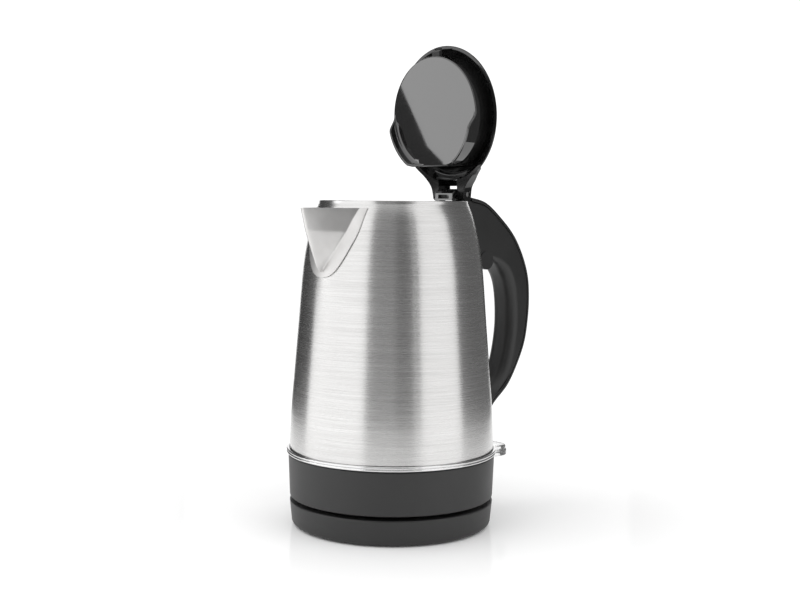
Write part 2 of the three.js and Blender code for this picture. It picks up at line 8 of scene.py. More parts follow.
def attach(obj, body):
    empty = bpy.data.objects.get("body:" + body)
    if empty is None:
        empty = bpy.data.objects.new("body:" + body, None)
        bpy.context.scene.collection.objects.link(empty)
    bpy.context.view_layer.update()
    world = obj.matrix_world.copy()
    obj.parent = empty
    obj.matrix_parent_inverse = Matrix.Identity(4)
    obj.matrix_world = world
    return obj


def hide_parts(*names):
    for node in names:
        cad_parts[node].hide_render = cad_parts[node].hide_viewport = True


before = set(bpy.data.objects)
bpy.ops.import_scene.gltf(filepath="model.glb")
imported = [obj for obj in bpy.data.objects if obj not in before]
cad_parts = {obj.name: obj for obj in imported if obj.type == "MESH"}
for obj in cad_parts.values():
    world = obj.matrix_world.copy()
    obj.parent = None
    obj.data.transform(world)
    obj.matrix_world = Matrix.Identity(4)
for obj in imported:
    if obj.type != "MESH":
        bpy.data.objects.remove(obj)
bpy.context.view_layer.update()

mm = 0.001
gap = 0.3


# A socket that takes part in ordinary arithmetic; each sum becomes a Math node.
class Wire:
    def __init__(self, tree, socket):
        self.tree = tree
        self.socket = socket

    def maths(self, operation, *others):
        node = self.tree.nodes.new("ShaderNodeMath")
        node.operation = operation
        for place, value in enumerate((self, *others)):
            feed(self.tree, value, node.inputs[place])
        return Wire(self.tree, node.outputs[0])

    def __add__(self, other):
        return self.maths("ADD", other)

    def __sub__(self, other):
        return self.maths("SUBTRACT", other)

    def __rsub__(self, other):
        return self.maths("MULTIPLY_ADD", -1.0, other)

    def __mul__(self, other):
        return self.maths("MULTIPLY", other)

    def __truediv__(self, other):
        return self.maths("DIVIDE", other)

    __radd__ = __add__
    __rmul__ = __mul__

    def above(self, level, softness):
        return ((self - level) / softness + 0.5).maths("MAXIMUM", 0.0).maths("MINIMUM", 1.0)


def feed(tree, value, socket):
    if isinstance(value, Wire):
        tree.links.new(value.socket, socket)
    else:
        socket.default_value = value


class Graph:
    def __init__(self, tree):
        self.tree = tree

    def node(self, kind, settings=None, inputs=None):
        made = self.tree.nodes.new(kind)
        for key, value in (settings or {}).items():
            setattr(made, key, value)
        for key, value in (inputs or {}).items():
            feed(self.tree, value, made.inputs[key])
        return made

    def wire(self, kind, settings=None, inputs=None, output=0):
        return Wire(self.tree, self.node(kind, settings, inputs).outputs[output])


# A material and the tools that build it.
class Finish(Graph):
    def __init__(self, name):
        self.material = bpy.data.materials.new(name)
        self.material.use_nodes = True
        super().__init__(self.material.node_tree)
        self.tree.nodes.clear()
        self.place = self.wire("ShaderNodeTexCoord", output="Object")

    def noise(self, scale, detail=3.0, stretch=None):
        place = self.place
        if stretch:
            place = self.wire("ShaderNodeVectorMath", {"operation": "MULTIPLY"}, {0: place, 1: stretch})
        settings = {"Vector": place, "Scale": scale, "Detail": detail}
        return self.wire("ShaderNodeTexNoise", None, settings, "Fac")

    def mixed(self, first, second, share):
        inputs = {0: share, 6: first, 7: second}
        return self.wire("ShaderNodeMix", {"data_type": "RGBA"}, inputs, 2)

    def bump(self, height, distance):
        return self.wire("ShaderNodeBump", None, {"Height": height, "Distance": distance})

    def surface(self, constants, colour, rough=0.5, normal=None, coat=0.0):
        varying = {"Base Color": colour, "Roughness": rough, "Coat Weight": coat}
        if normal:
            varying["Normal"] = normal
        shader = self.node("ShaderNodeBsdfPrincipled", None, {**constants, **varying})
        output = self.node("ShaderNodeOutputMaterial")
        self.tree.links.new(shader.outputs[0], output.inputs["Surface"])
        return self.material


def grey(level, warm=0.0):
    return (level * (1 + warm), level, level * (1 - warm), 1.0)


# Steel brushed round the axis, so its lines lie level.
def brushedSteel():
    m = Finish("brushedSteel")
    lines = m.noise(1.0, 4.0, (24, 24, 3400))
    wide = m.noise(1.0, 3.0, (12, 12, 900))
    cloud = m.noise(22.0, 3.0)
    tone = lines * 0.6 + wide * 0.4
    colour = m.mixed(grey(0.50, 0.012), grey(0.74, 0.006), tone.above(0.5, 0.55))
    rough = 0.19 + lines * 0.10 + cloud * 0.05
    normal = m.bump(lines * 0.7 + wide * 0.3, 1.2e-5)
    constants = {"Metallic": 1.0, "Anisotropic": 0.6, "Anisotropic Rotation": 0.25}
    return m.surface(constants, colour, rough, normal)


# Pressed sheet with a finer satin, not brushed in one direction.
def satinSteel():
    m = Finish("satinSteel")
    grain = m.noise(2400.0, 2.0)
    cloud = m.noise(45.0, 3.0)
    colour = m.mixed(grey(0.52, 0.015), grey(0.70, 0.01), cloud.above(0.5, 0.6))
    rough = 0.30 + cloud * 0.10 + grain * 0.05
    normal = m.bump(grain, 1e-5)
    return m.surface({"Metallic": 1.0}, colour, rough, normal)


def polishedSteel():
    m = Finish("polishedSteel")
    smear = m.noise(60.0, 4.0)
    grain = m.noise(1800.0, 2.0)
    colour = m.mixed(grey(0.66), grey(0.80), smear)
    rough = 0.07 + smear * 0.10
    normal = m.bump(grain, 4e-6)
    return m.surface({"Metallic": 1.0}, colour, rough, normal)


def plastic(name, dark, light, roughLow, roughRange, grainScale, grainDepth, wave=0.0, ior=1.5):
    m = Finish(name)
    grain = m.noise(grainScale, 3.0)
    cloud = m.noise(35.0, 4.0)
    slow = m.noise(14.0, 1.0)
    colour = m.mixed(dark, light, cloud.above(0.5, 0.6))
    rough = roughLow + cloud * roughRange
    height = grain * grainDepth + slow * wave
    normal = m.bump(height, 1.0)
    return m.surface({"IOR": ior}, colour, rough, normal)


def metal(name, dark, light, roughLow, roughRange, grainScale):
    m = Finish(name)
    grain = m.noise(grainScale, 3.0)
    cloud = m.noise(70.0, 4.0)
    colour = m.mixed(dark, light, cloud.above(0.5, 0.5))
    rough = roughLow + cloud * roughRange
    normal = m.bump(grain, 1e-5)
    return m.surface({"Metallic": 1.0}, colour, rough, normal)


def clearPlastic():
    m = Finish("clearPlastic")
    cloud = m.noise(90.0, 3.0)
    colour = m.mixed(grey(0.86), grey(0.94), cloud)
    rough = 0.04 + cloud * 0.06
    normal = m.bump(m.noise(300.0), 1e-5)
    constants = {"Transmission Weight": 0.92, "IOR": 1.49}
    return m.surface(constants, colour, rough, normal)


finishes = {
    "steel_brushed": brushedSteel(),
    "steel_satin": satinSteel(),
    "steel_polished": polishedSteel(),
    "housing_grey": plastic("housingGrey", grey(0.011), grey(0.015), 0.40, 0.12, 2600.0, 1.2e-5),
    "black_gloss": plastic("blackGloss", grey(0.004), grey(0.006), 0.015, 0.03, 900.0, 6e-7, 3e-5, 1.95),
    "black_cover": plastic("blackCover", grey(0.004), grey(0.006), 0.05, 0.08, 900.0, 6e-7, 3e-5),
    "black_satin": plastic("blackSatin", grey(0.007), grey(0.010), 0.36, 0.12, 2200.0, 1e-5),
    "clear_lever": clearPlastic(),
    "inner_plastic": plastic("innerPlastic", grey(0.24, 0.04), grey(0.30, 0.04), 0.5, 0.15, 1500.0, 1e-5),
    "brass_contact": metal("brass", (0.52, 0.32, 0.10, 1), (0.68, 0.46, 0.18, 1), 0.2, 0.2, 1500.0),
    "aluminium_disc": metal("aluminium", grey(0.42), grey(0.52), 0.35, 0.2, 900.0),
    "zinc_steel": metal("zincSteel", grey(0.34), grey(0.46), 0.28, 0.2, 1200.0),
    "foot_rubber": plastic("footRubber", grey(0.012), grey(0.02), 0.75, 0.15, 1800.0, 2e-5),
    "lamp_glass": plastic("lampGlass", (0.7, 0.45, 0.2, 1), (0.8, 0.6, 0.3, 1), 0.08, 0.1, 900.0, 2e-6),
}
print("finishes ready", len(finishes))


# Lines and outlines are in millimetres.
# A smooth line through the points, with the same number of steps between neighbours.
def through(points, steps):
    padded = [points[0], *points, points[-1]]
    line = []
    for i in range(len(points) - 1):
        a, b, c, d = (Vector(p) for p in padded[i : i + 4])
        for k in range(steps):
            t = k / steps
            low = 2 * b + (c - a) * t + (2 * a - 5 * b + 4 * c - d) * t * t
            line.append((low + (3 * b - a - 3 * c + d) * t**3) / 2)
    line.append(Vector(points[-1]))
    return [tuple(p) for p in line]


# The value at one place in a table of (place, value), with straight lines between its rows.
def level(table, at):
    ordered = sorted(table)
    if at <= ordered[0][0]:
        return ordered[0][1]
    for (a, x), (b, y) in zip(ordered, ordered[1:]):
        if at <= b:
            return x + (y - x) * (at - a) / max(b - a, 1e-9)
    return ordered[-1][1]


def arc(centre, radius, start, end, steps):
    turns = [math.radians(start + (end - start) * k / steps) for k in range(steps + 1)]
    return [(centre[0] + radius * math.cos(t), centre[1] + radius * math.sin(t)) for t in turns]


# Moves every point of an open line to the left of its direction of travel.
def beside(points, distance):
    moved = []
    for i, (x, y) in enumerate(points):
        before = points[max(i - 1, 0)]
        after = points[min(i + 1, len(points) - 1)]
        along = Vector((after[0] - before[0], after[1] - before[1])).normalized()
        moved.append((x - along.y * distance, y + along.x * distance))
    return moved


def areaOf(points):
    return sum(a[0] * b[1] - b[0] * a[1] for a, b in zip(points, points[1:] + points[:1])) / 2


# Rounds the corners of a closed outline whose points are (x, y) or (x, y, radius).
def softCorners(points, steps=5):
    line = []
    for i, point in enumerate(points):
        radius = point[2] if len(point) > 2 else 0
        here = Vector(point[:2])
        if radius == 0:
            line.append(tuple(here))
            continue
        before = (Vector(points[i - 1][:2]) - here).normalized()
        after = (Vector(points[(i + 1) % len(points)][:2]) - here).normalized()
        half = before.angle(after) / 2
        reach = radius / math.tan(half)
        centre = here + (before + after).normalized() * (radius / math.sin(half))
        start = here + before * reach - centre
        end = here + after * reach - centre
        turn = start.angle_signed(end)
        for k in range(steps + 1):
            swung = Matrix.Rotation(-turn * k / steps, 2) @ start
            line.append(tuple(centre + swung))
    return line


# Where a drawn point (a, b) at depth c lies in space.
planes = {
    "xy": lambda a, b, c: (a, b, c),
    "xz": lambda a, b, c: (a, c, b),
    "yz": lambda a, b, c: (c, a, b),
}


afterShaping = 1e-7  # metres; closer points become one
afterBoolean = 2e-6


def placed(x, y, z):
    return Matrix.Translation((x * mm, y * mm, z * mm))


def added(name, data):
    made = bpy.data.objects.new(name, data)
    bpy.context.scene.collection.objects.link(made)
    return made


# Closes hairline gaps, removes faces of no area and turns all faces outward.
def cleaned(shape, data, tiny):
    bmesh.ops.remove_doubles(shape, verts=shape.verts, dist=tiny)
    bmesh.ops.dissolve_degenerate(shape, edges=shape.edges, dist=tiny / 10)
    bmesh.ops.recalc_face_normals(shape, faces=shape.faces)
    shape.to_mesh(data)
    shape.free()


def meshObject(name, shape):
    data = bpy.data.meshes.new(name)
    cleaned(shape, data, afterShaping)
    return added(name, data)


# Joins closed rings of points into a solid with flat ends.
def fromRings(name, rings, place=None):
    shape = bmesh.new()
    turn = place or Matrix.Identity(4)
    made = [[shape.verts.new(turn @ (Vector(p) * mm)) for p in ring] for ring in rings]
    for low, high in zip(made, made[1:]):
        for i in range(len(low)):
            j = (i + 1) % len(low)
            shape.faces.new((low[i], low[j], high[j], high[i]))
    shape.faces.new(made[0][::-1])
    shape.faces.new(made[-1])
    return meshObject(name, shape)


# The inward step of each outline point that moves both its sides by one unit.
def inwardSteps(points):
    steps = []
    for i, point in enumerate(points):
        here = Vector(point)
        first = (here - Vector(points[i - 1])).normalized()
        second = (Vector(points[(i + 1) % len(points)]) - here).normalized()
        normals = [Vector((-first.y, first.x)), Vector((-second.y, second.x))]
        total = normals[0] + normals[1]
        steps.append(total / max(1 + normals[0].dot(normals[1]), 0.4))
    return steps


# An outline drawn in one plane and extruded across it, with rounded edges at both ends.
def softPrism(name, outline, plane, low, high, lowRadius=0.0, highRadius=0.0, steps=5):
    order = 1 if areaOf(outline) > 0 else -1
    points = outline[::order]
    inward = inwardSteps(points)
    rings = []
    for end, given, sign in ((low, lowRadius, 1), (high, highRadius, -1)):
        radii = given[::order] if isinstance(given, list) else [given] * len(points)
        turns = [math.radians(90 * k / steps) for k in range(steps + 1)] if max(radii) > 0 else [0.0]
        ringSet = []
        for turn in turns:
            ring = []
            for (a, b), step, radius in zip(points, inward, radii):
                inset = radius * (1 - math.sin(turn))
                depth = end + sign * radius * (1 - math.cos(turn))
                ring.append(planes[plane](a + step.x * inset, b + step.y * inset, depth))
            ringSet.append(ring)
        rings += ringSet[::sign]
    return fromRings(name, rings)


def block(name, x0, x1, y0, y1, z0, z1):
    corners = [(x0, y0), (x1, y0), (x1, y1), (x0, y1)]
    return fromRings(name, [[(x, y, z) for x, y in corners] for z in (z0, z1)])


def rod(name, radius, plane, low, high, centre=(0, 0), sides=48):
    ring = arc(centre, radius, 0, 360 * (sides - 1) / sides, sides - 1)
    return softPrism(name, ring, plane, low, high)


# Makes what the modifiers show into the object's own mesh.
def settle(made):
    ready = bpy.context.evaluated_depsgraph_get()
    data = bpy.data.meshes.new_from_object(made.evaluated_get(ready))
    made.modifiers.clear()
    made.data = data
    return made


def tidied(made, tiny, place=None):
    shape = bmesh.new()
    shape.from_mesh(made.data)
    shape.transform(place or Matrix.Identity(4))
    cleaned(shape, made.data, tiny)


def joinCut(made, operation, others):
    for other in others:
        step = made.modifiers.new(operation, "BOOLEAN")
        step.operation = operation
        step.object = other
        step.solver = "EXACT"
    settle(made)
    tidied(made, afterBoolean)
    for other in others:
        bpy.data.objects.remove(other)
    return made


def without(made, *others):
    return joinCut(made, "DIFFERENCE", others)


def together(made, *others):
    return joinCut(made, "UNION", others)


def newTree(name, sockets):
    tree = bpy.data.node_groups.new(name, "GeometryNodeTree")
    tree.interface.new_socket(name="Geometry", in_out="OUTPUT", socket_type="NodeSocketGeometry")
    for label, kind in {**sockets, "Material": "Material"}.items():
        tree.interface.new_socket(name=label, in_out="INPUT", socket_type="NodeSocket" + kind)
    graph = Graph(tree)
    graph.inputs = graph.node("NodeGroupInput")
    graph.given = lambda label: Wire(tree, graph.inputs.outputs[label])
    return graph


def endTree(graph, shape):
    real = graph.wire("GeometryNodeRealizeInstances", None, {"Geometry": shape})
    values = {"Geometry": real, "Material": graph.given("Material")}
    painted = graph.wire("GeometryNodeSetMaterial", None, values)
    output = graph.node("NodeGroupOutput")
    feed(graph.tree, painted, output.inputs["Geometry"])
    return graph.tree


# A profile swept round a level circle.
def turnedTree():
    g = newTree("turned", {"Profile": "Object", "Radius": "Float", "Sides": "Int"})
    profile = g.wire("GeometryNodeObjectInfo", None, {"Object": g.given("Profile")}, "Geometry")
    size = {"Radius": g.given("Radius"), "Resolution": g.given("Sides")}
    ring = g.wire("GeometryNodeCurvePrimitiveCircle", None, size)
    swept = g.wire("GeometryNodeCurveToMesh", None, {"Curve": ring, "Profile Curve": profile})
    return endTree(g, swept)


# Copies of one piece, evenly spaced round the axis and turned with it.
def roundTree():
    g = newTree("roundTheAxis", {"Piece": "Object", "Count": "Int", "Radius": "Float", "Start": "Float"})
    piece = g.wire("GeometryNodeObjectInfo", None, {"Object": g.given("Piece")}, "Geometry")
    points = g.wire("GeometryNodePoints", None, {"Count": g.given("Count")})
    turn = g.wire("GeometryNodeInputIndex") / g.given("Count") * (2 * math.pi) + g.given("Start")
    east = turn.maths("COSINE") * g.given("Radius")
    north = turn.maths("SINE") * g.given("Radius")
    place = g.wire("ShaderNodeCombineXYZ", None, {"X": east, "Y": north})
    spread = g.wire("GeometryNodeSetPosition", None, {"Geometry": points, "Position": place})
    facing = g.wire("ShaderNodeCombineXYZ", None, {"Z": turn})
    values = {"Points": spread, "Instance": piece, "Rotation": facing}
    copies = g.wire("GeometryNodeInstanceOnPoints", None, values)
    return endTree(g, copies)


# A coil of round wire standing on its own end.
def coilTree():
    g = newTree("coil", {"Radius": "Float", "Wire": "Float", "Turns": "Float", "Length": "Float"})
    radius = g.given("Radius")
    spiral = {"Resolution": 40, "Rotations": g.given("Turns"), "Start Radius": radius, "End Radius": radius}
    line = g.wire("GeometryNodeCurveSpiral", None, {**spiral, "Height": g.given("Length")})
    size = {"Radius": g.given("Wire"), "Resolution": 14}
    section = g.wire("GeometryNodeCurvePrimitiveCircle", None, size)
    values = {"Curve": line, "Profile Curve": section, "Fill Caps": True}
    swept = g.wire("GeometryNodeCurveToMesh", None, values)
    return endTree(g, swept)


# Rows of round holes through a plate, kept clear of the plate's slanted edges.
def holesTree():
    lengths = ("Spacing", "Hole", "Middle", "Tip", "Slope")
    g = newTree("holes", {"Plate": "Object", **{label: "Float" for label in lengths}})
    plate = g.wire("GeometryNodeObjectInfo", None, {"Object": g.given("Plate")}, "Geometry")
    spacing = g.given("Spacing")
    size = {"Vertices X": 11, "Vertices Y": 7, "Size X": spacing * 10.0, "Size Y": spacing * 6.0 * 1.2}
    grid = g.wire("GeometryNodeMeshGrid", None, size)
    spot = g.node("ShaderNodeSeparateXYZ", None, {"Vector": g.wire("GeometryNodeInputPosition")})
    across = Wire(g.tree, spot.outputs[0])
    up = Wire(g.tree, spot.outputs[1]) + g.given("Middle")
    room = (up - g.given("Tip")) * g.given("Slope") - g.given("Hole") * 2.2
    over = across.maths("ABSOLUTE").maths("GREATER_THAN", room)
    stood = g.wire("ShaderNodeCombineXYZ", None, {"X": -0.06, "Y": across, "Z": up})
    wall = g.wire("GeometryNodeSetPosition", None, {"Geometry": grid, "Position": stood})
    size = {"Vertices": 20, "Radius": g.given("Hole"), "Depth": 0.05}
    pin = g.wire("GeometryNodeMeshCylinder", None, size)
    outside = {"Geometry": wall, "Selection": over}
    keep = g.wire("GeometryNodeDeleteGeometry", {"domain": "POINT"}, outside)
    lying = {"Points": keep, "Instance": pin, "Rotation": (0.0, math.pi / 2, 0.0)}
    pins = g.wire("GeometryNodeInstanceOnPoints", None, lying)
    solidPins = g.wire("GeometryNodeRealizeInstances", None, {"Geometry": pins})
    settings = {"operation": "DIFFERENCE", "solver": "EXACT"}
    cut = g.wire("GeometryNodeMeshBoolean", settings, {0: plate, 1: solidPins})
    return endTree(g, cut)


trees = {"turned": turnedTree(), "round": roundTree(), "coil": coilTree(), "holes": holesTree()}


# Runs one tree on its values; a piece handed in as a value is used up.
def byNodes(name, tree, finish, values):
    made = added(name, bpy.data.meshes.new(name))
    step = made.modifiers.new("nodes", "NODES")
    step.node_group = trees[tree]
    values = values | {"Material": finishes[finish]}
    for item in trees[tree].interface.items_tree:
        if item.in_out == "INPUT":
            step[item.identifier] = values[item.name]
    settle(made)
    for value in values.values():
        if isinstance(value, bpy.types.Object):
            bpy.data.objects.remove(value)
    return made


# Three copies of a piece round the axis.
def threeOf(name, piece, p, finish):
    values = {"Piece": piece, "Count": 3, "Radius": p["ring"] * mm, "Start": math.radians(p["start"])}
    return byNodes(name, "round", finish, values)


sweepRadius = 0.01  # of the circle that carries a turned profile


def profileCurve(name, outline):
    data = bpy.data.curves.new(name, "CURVE")
    data.dimensions = "2D"
    line = data.splines.new("POLY")
    points = [((r - sweepRadius) * mm, -z * mm) for r, z in outline]
    points = points if areaOf(points) > 0 else points[::-1]
    line.points.add(len(points) - 1)
    for point, (a, b) in zip(line.points, points):
        point.co = (a, b, 0, 1)
    line.use_cyclic_u = True
    return added(name, data)


# Turns a closed outline of (radius, height) about the upright axis.
def turned(name, outline, finish, sides):
    profile = profileCurve(name + "Profile", outline)
    return byNodes(name, "turned", finish, {"Profile": profile, "Radius": sweepRadius * mm, "Sides": sides})


# Turns an open outline of (radius, height) into a solid with flat ends.
def turnedSolid(name, outline, sides=144, place=None):
    turns = [2 * math.pi * k / sides for k in range(sides)]
    rings = [[(r * math.cos(t), r * math.sin(t), z) for t in turns] for r, z in outline]
    return fromRings(name, rings, place)


def paint(made, finish):
    made.data.materials.clear()
    made.data.materials.append(finishes[finish])


# Faces that meet at less than the angle are shaded as one.
def smoothed(made, angle):
    made.data.shade_smooth()
    made.data.set_sharp_from_angle(angle=math.radians(angle))


shapedAngle, keptAngle = 32, 28


def deliver(made, piece):
    tidied(made, afterShaping, piece.get("place"))
    paint(made, piece["finish"])
    smoothed(made, shapedAngle)
    if piece.get("even", True):
        made.modifiers.new("even", "WEIGHTED_NORMAL").keep_sharp = True
        settle(made)
    made.name = piece["name"]
    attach(made, piece["body"])
    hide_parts(*piece["nodes"])


# The jug's outside as (radius, height).
jugOutline = [(76.7, 53.7), (75.8, 85), (73.6, 115), (70.9, 150), (67.1, 197), (61.2, 227), (55.7, 242)]
jugLine = through(jugOutline, 16)
jugTable = [(z, r) for r, z in jugLine]
jugWall = 1.0


def jugRadius(z):
    return level(jugTable, z)


def jugSolid(extra, lowZ, highZ):
    side = [(r + extra, z) for r, z in jugLine[:-1]]
    return turnedSolid("jugSolid", [(side[0][0], lowZ), *side, (side[-1][0], highZ)])


jugPiece = {
    "name": "jug_wall",
    "finish": "steel_brushed",
    "body": "jug",
    "nodes": ["jug_body"],
    "rimZ": 242.5,
    "rimDepth": 1.6,
    "rimBead": 0.55,
    "openingHalf": 19,
    "openingTop": 232,
    "openingTip": 198,
    "openingCorner": 1.5,
}
fineSides = 192


def makeJug(p):
    rimStart, bead = p["rimZ"] - p["rimDepth"], p["rimBead"]
    outer = [q for q in jugLine if q[1] < rimStart]
    inner = [(r - jugWall, z) for r, z in outer][::-1]
    rim = arc((jugRadius(rimStart) - jugWall / 2 - 0.1, p["rimZ"] - bead), bead, -10, 190, 10)
    made = turned("jugWall", [*outer, *rim, *inner], p["finish"], fineSides)
    half, top, corner = p["openingHalf"], p["openingTop"], p["openingCorner"]
    corners = [(-half, top, corner), (0, p["openingTip"], corner), (half, top, corner)]
    opening = softPrism("opening", softCorners(corners), "yz", -90, -30)
    deliver(without(made, opening), p)


makeJug(jugPiece)
print("jug wall done")


# Nose is (height, X), creases (height, half width) and flange (half width, height).
spoutPiece = {
    "name": "spout_sheet",
    "finish": "steel_satin",
    "slot": "steel_brushed",
    "body": "jug",
    "nodes": ["spout"],
    "nose": [(189.5, -70.0), (195, -74.0), (208, -79.2), (221, -84.0), (237, -88.3)],
    "creases": [(190.5, 0.0), (207, 11.0), (220, 18.0), (237, 23.5)],
    "flange": [(29, 237), (27, 220), (22, 206.5), (15.5, 195), (8.5, 188.6), (0, 186.4)],
    "noseSoft": 2.0,
    "creaseShare": (0.3, 0.9),
    # how far the nose and the crease move in, how far the sheet stands off the jug, how soft it blends
    "outerFace": (0.0, 0.0, 1.2, 0.7),
    "innerFace": (1.25, 1.15, 0.3, 0.3),
}


def smoothLeast(a, b, soft):
    share = max(0.0, min(1.0, 0.5 + (b - a) / (2 * soft)))
    return b + (a - b) * share - soft * share * (1 - share)


# How far out the sheet lies, as -X, at one place on it.
def spoutX(p, y, z, noseShift, creaseShift, lift, soft):
    flush = -math.sqrt(max((jugRadius(z) + lift) ** 2 - y * y, 1))
    crease = level(p["creases"], z) - creaseShift
    if crease <= 0.4:
        return flush
    edge = -math.sqrt((jugRadius(z) + lift) ** 2 - crease * crease)
    nose = level(p["nose"], z) + noseShift
    e = p["noseSoft"]
    share = (math.hypot(y, e) - e) / (math.hypot(crease, e) - e)
    return smoothLeast(flush, nose + (edge - nose) * share, soft)


def makeSpout(p):
    flange = through(p["flange"], 14)[::-1]
    middle, side = 26, 12  # steps from the nose to the crease and from there to the edge
    least, most = p["creaseShare"]
    outer, inner = [], []
    for half, z in flange:
        turn = min(max(level(p["creases"], z), least * half), most * half)
        spread = [turn * k / middle for k in range(middle + 1)]
        spread += [turn + (half - turn) * k / side for k in range(1, side + 1)]
        ys = [-y for y in spread[:0:-1]] + spread
        outer.append([(spoutX(p, y, z, *p["outerFace"]), y, z) for y in ys])
        inner.append([(spoutX(p, y, z, *p["innerFace"]), y, z) for y in ys])
    deliver(fromRings("spoutSheet", [row + back[::-1] for row, back in zip(outer, inner)]), p)


makeSpout(spoutPiece)

strainerPiece = {
    "name": "strainer",
    "finish": "steel_satin",
    "slot": "steel_brushed",
    "body": "jug",
    "nodes": ["spout_strainer"],
    "topZ": 236.6,
    "tipZ": 192.4,
    "topHalf": 23.6,
    "outside": 1.3,
    "thick": 0.8,
    "steps": 24,
    "spacing": 3.7,
    "hole": 1.2,
    "middleZ": 219,
}


def makeStrainer(p):
    rows = []
    steps = p["steps"]
    for k in range(steps + 1):
        z = p["tipZ"] + (p["topZ"] - p["tipZ"]) * k / steps
        half = max(p["topHalf"] * k / steps, 0.2)
        ys = [half * (2 * i / steps - 1) for i in range(steps + 1)]
        far = [(-math.sqrt((jugRadius(z) - p["outside"]) ** 2 - y * y), y, z) for y in ys]
        near = [(-math.sqrt((jugRadius(z) - p["outside"] - p["thick"]) ** 2 - y * y), y, z) for y in ys]
        rows.append(far + near[::-1])
    values = {"Plate": fromRings("strainerPlate", rows), "Slope": p["topHalf"] / (p["topZ"] - p["tipZ"])}
    values |= {"Spacing": p["spacing"] * mm, "Hole": p["hole"] * mm}
    values |= {"Middle": p["middleZ"] * mm, "Tip": p["tipZ"] * mm}
    deliver(byNodes("strainer", "holes", p["finish"], values), p)


makeStrainer(strainerPiece)
print("spout and strainer done")


ringPiece = {
    "name": "trim_ring_beads",
    "finish": "steel_polished",
    "body": "jug",
    "nodes": ["trim_ring"],
    "radius": 79.0,
    "bead": 0.95,
    "lowZ": 53.7,
}


def makeRing(p):
    bead, lowC = p["bead"], p["lowZ"] + p["bead"]
    highC = lowC + 2 * bead - 0.1
    middle = p["radius"] - bead
    outline = arc((middle, lowC), bead, -88, 70, 10) + arc((middle, highC), bead, -70, 88, 10)
    outline += [(p["radius"] - 2 * bead, highC + 0.9 * bead), (p["radius"] - 2 * bead, p["lowZ"] + 0.1)]
    deliver(turned("trimRing", outline, p["finish"], fineSides), p)


makeRing(ringPiece)


# Base of the kettle, then the power base.
housingPiece = {
    "name": "housing",
    "finish": "housing_grey",
    "body": "jug",
    "nodes": ["base_housing"],
    "lowZ": 21.8,
    "topZ": 53.2,
    "lowR": 76.2,
    "topR": 77.6,
    "wall": 2.2,
    "slotHalf": 13.8,
    "slotLowZ": 34.8,
    "slotTopZ": 43.2,
    "bosses": {"lowZ": 25, "topZ": 34, "ring": 66, "start": 60, "web": 9.5},
}
bossRadius, bossBore = 4.0, 1.8


def bosses(name, p):
    low, top = p["lowZ"], p["topZ"]
    post = rod(name + "Post", bossRadius, "xy", low, top)
    if p["web"]:
        together(post, block(name + "Web", 0, p["web"], -1, 1, low, top))
    post = without(post, rod(name + "Bore", bossBore, "xy", low - 5, top - 2))
    return threeOf(name, post, p, "housing_grey")


def makeHousing(p):
    innerTop, innerLow = p["topR"] - p["wall"], p["lowR"] - p["wall"]
    outline = [
        (innerLow, p["lowZ"]),
        (p["lowR"], p["lowZ"], 1.2),
        (p["topR"], p["topZ"], 0.9),
        (71, p["topZ"]),
        (71, p["topZ"] - 2),
        (innerTop, p["topZ"] - 3.4),
    ]
    made = turned("housing", softCorners(outline, 6), p["finish"], fineSides)
    made = together(made, bosses("housingBosses", p["bosses"]))
    half, low, top = p["slotHalf"], p["slotLowZ"], p["slotTopZ"]
    slotLine = softCorners([(-half, low, 2), (half, low, 2), (half, top, 2), (-half, top, 2)])
    deliver(without(made, softPrism("leverSlot", slotLine, "yz", 70, 90)), p)


makeHousing(housingPiece)

basePiece = {
    "name": "power_base_shell",
    "finish": "housing_grey",
    "body": "power_base",
    "nodes": ["power_base_top"],
    "lowZ": 1.0,
    "topZ": 19.1,
    "topR": 76.2,
    "lowR": 74.7,
    "edgeR": 3.2,
    "wall": 2.2,
    "towerHole": 16.9,
    "inlet": (-7.3, 7.3, 60, 90, 4.7, 14.3),
    "bosses": {"lowZ": 4.4, "topZ": 17.4, "ring": 42, "start": 0, "web": 0},
}


def makeBase(p):
    lowR, edge, ceiling = p["lowR"], p["edgeR"], p["topZ"] - p["wall"]
    rounded = arc((lowR - edge, p["lowZ"] + edge), edge, -90, 0, 8)
    shoulder = arc((p["topR"] - 1.1, p["topZ"] - 1.1), 1.1, 0, 90, 8)
    outline = [*rounded, *shoulder, (p["towerHole"], p["topZ"]), (p["towerHole"], ceiling)]
    outline += [(p["topR"] - p["wall"], ceiling), (lowR - edge, p["lowZ"] + edge)]
    made = turned("powerBase", outline, p["finish"], fineSides)
    made = together(made, bosses("baseBosses", p["bosses"]))
    deliver(without(made, block("inlet", *p["inlet"])), p)


makeBase(basePiece)

feetPiece = {
    "name": "feet",
    "finish": "foot_rubber",
    "body": "power_base",
    "nodes": ["foot_1", "foot_2", "foot_3"],
    "outline": [(3.4, 0), (3.8, 0.15), (4.0, 0.5), (4.0, 1.7)],
    "ring": 66,
    "start": 60,
}


def makeFeet(p):
    foot = turnedSolid("foot", p["outline"], 40)
    deliver(threeOf("feet", foot, p, p["finish"]), p)


makeFeet(feetPiece)

screwSets = [
    {
        "name": "base_screws",
        "finish": "zinc_steel",
        "body": "power_base",
        "nodes": [f"base_screw_{i}" for i in (1, 2, 3)],
        "z": 0.8,
        "ring": 42,
        "start": 0,
    },
    {
        "name": "housing_screws",
        "finish": "zinc_steel",
        "body": "jug",
        "nodes": [f"housing_screw_{i}" for i in (1, 2, 3)],
        "z": 21.8,
        "ring": 66,
        "start": 60,
    },
]
screwOutline = [(2.6, 0), (2.9, 0.15), (3.0, 0.5), (3.0, 1.6), (1.4, 1.6), (1.4, 7.6), (1.0, 8.0)]
crossHalf, crossWidth, crossDepth = 2.2, 0.4, 0.7


